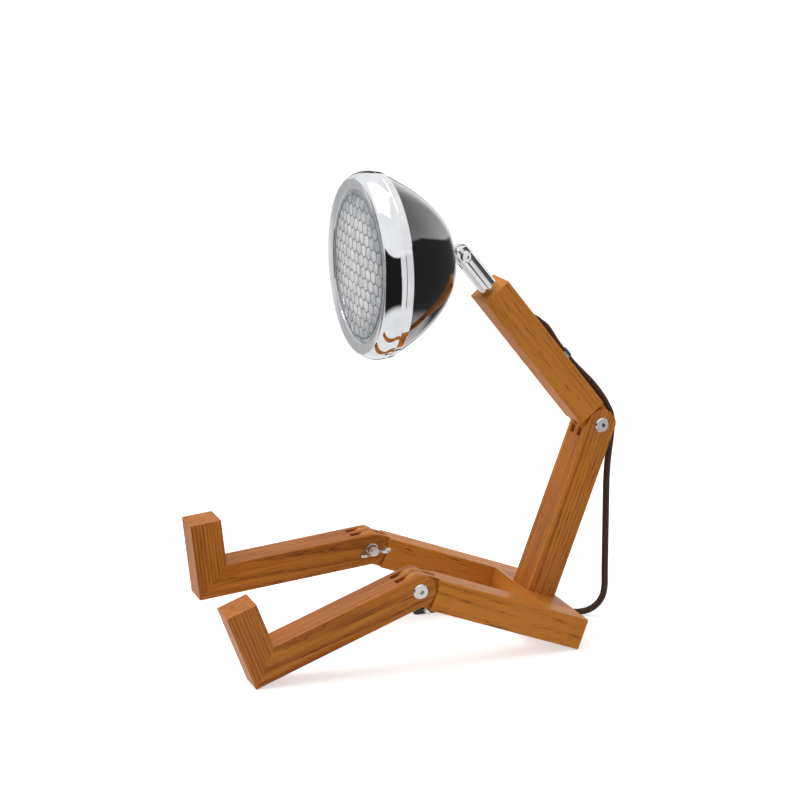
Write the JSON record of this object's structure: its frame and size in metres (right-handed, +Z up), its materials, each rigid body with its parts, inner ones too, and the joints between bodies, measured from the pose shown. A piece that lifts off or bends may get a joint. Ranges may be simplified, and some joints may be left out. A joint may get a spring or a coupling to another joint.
{
  "type": "figure-shaped desk lamp",
  "caption": "Adjustable desk lamp built as a sitting wooden figure: beams on bolted finger joints with wing nuts, a round headlamp for a head and a textile cord down its back",
  "frame": {"origin": "middle of the lamp's box in plan, at the level of the surface it stands on, without the cord and what is on it", "axes": "+Z up, the figure faces -Y, its left side is +X"},
  "size_m": [0.3041, 0.4146, 0.4527],
  "materials": {
    "teak": "oiled, satin",
    "black_enamel": "gloss",
    "chrome": "polished",
    "reflector": "bright",
    "glass": "clear, patterned behind",
    "bulb_glass": "frosted",
    "zinc": "zinc plated",
    "nickel": "nickel plated",
    "brass": "plain",
    "black_plastic": "satin",
    "rocker_plastic": "satin",
    "black_rubber": "matt",
    "textile": "braided sleeve",
    "lead": "plain"
  },
  "bodies": {
    "pelvis": {"hip_block": "teak", "hip_dowels": "teak", "left_thigh": "teak", "right_thigh": "teak", "waist_bolt": "zinc", "waist_washer": "zinc", "cord_drop": "textile", "cord_floor": "textile", "cord_link": "textile", "cord_coil": "textile", "cord_tail": "textile", "switch_base": "black_plastic", "switch_cover": "black_plastic", "switch_screws": "zinc", "plug_body": "black_plastic", "plug_pins": "nickel"},
    "left_leg": {"left_shin": "teak", "left_foot": "teak", "left_knee_bolt": "zinc", "left_knee_washer": "zinc"},
    "left_nut": {"left_wing_nut": "chrome"},
    "right_leg": {"right_shin": "teak", "right_foot": "teak", "right_knee_bolt": "zinc", "right_knee_washer": "zinc"},
    "right_nut": {"right_wing_nut": "chrome"},
    "torso": {"lower_torso": "teak", "waist_insert": "brass", "chest_bolt": "zinc", "chest_washer": "zinc", "cord_bend": "textile"},
    "chest_nut": {"chest_wing_nut": "chrome"},
    "upper_body": {"chest": "teak", "cord_sleeve": "black_plastic", "cord_clip": "chrome", "clip_screws": "zinc", "cord_back": "textile"},
    "neck": {"neck_tube": "chrome", "pivot_screw": "chrome"},
    "head": {"head_shell": "black_enamel", "bezel": "chrome", "lens": "glass", "lens_gasket": "black_rubber", "reflector": "reflector", "bulb": "bulb_glass", "lamp_holder": "black_plastic", "head_lead": "lead", "knuckle": "chrome", "knuckle_nut": "zinc"},
    "rocker": {"switch_rocker": "rocker_plastic"}
  },
  "joints": [
    {"name": "left_knee", "type": "hinge", "parent": "pelvis", "child": "left_leg", "pos_m": [0.06594, -0.0204, 0.07518], "axis": [1, 0, 0], "range_deg": [-131, 48]},
    {"name": "right_knee", "type": "hinge", "parent": "pelvis", "child": "right_leg", "pos_m": [-0.07506, -0.0204, 0.07518], "axis": [1, 0, 0], "range_deg": [-116, 63]},
    {"name": "waist_swivel", "type": "hinge", "parent": "pelvis", "child": "torso", "pos_m": [-0.00456, 0.12709, 0.03549], "axis": [0, 0.3535, 0.9354], "range_deg": [-90, 90], "deforming": ["cord_drop"]},
    {"name": "chest_hinge", "type": "hinge", "parent": "torso", "child": "upper_body", "pos_m": [-0.00456, 0.18824, 0.19732], "axis": [0.9981, 0.0571, -0.0216], "range_deg": [-79, 30], "deforming": ["cord_bend"]},
    {"name": "neck_swivel", "type": "hinge", "parent": "upper_body", "child": "neck", "pos_m": [0.00479, 0.07721, 0.33613], "axis": [0.0525, -0.6237, 0.7799], "range_deg": [-90, 90]},
    {"name": "head_tilt", "type": "hinge", "parent": "neck", "child": "head", "pos_m": [0.00711, 0.04977, 0.37045], "axis": [0.9984, 0.0162, -0.0543], "range_deg": [-50, 38]},
    {"name": "left_nut_turn", "type": "hinge", "parent": "left_leg", "child": "left_nut", "pos_m": [0.03994, -0.0204, 0.07518], "axis": [1, 0, 0], "continuous": true},
    {"name": "right_nut_turn", "type": "hinge", "parent": "right_leg", "child": "right_nut", "pos_m": [-0.04906, -0.0204, 0.07518], "axis": [1, 0, 0], "continuous": true},
    {"name": "chest_nut_turn", "type": "hinge", "parent": "torso", "child": "chest_nut", "pos_m": [-0.03051, 0.18675, 0.19788], "axis": [0.9981, 0.0571, -0.0216], "continuous": true},
    {"name": "rocker_tip", "type": "hinge", "parent": "pelvis", "child": "rocker", "pos_m": [-0.08156, 0.15813, 0.0146], "axis": [0, 1, 0], "range_deg": [0, 14]}
  ]
}
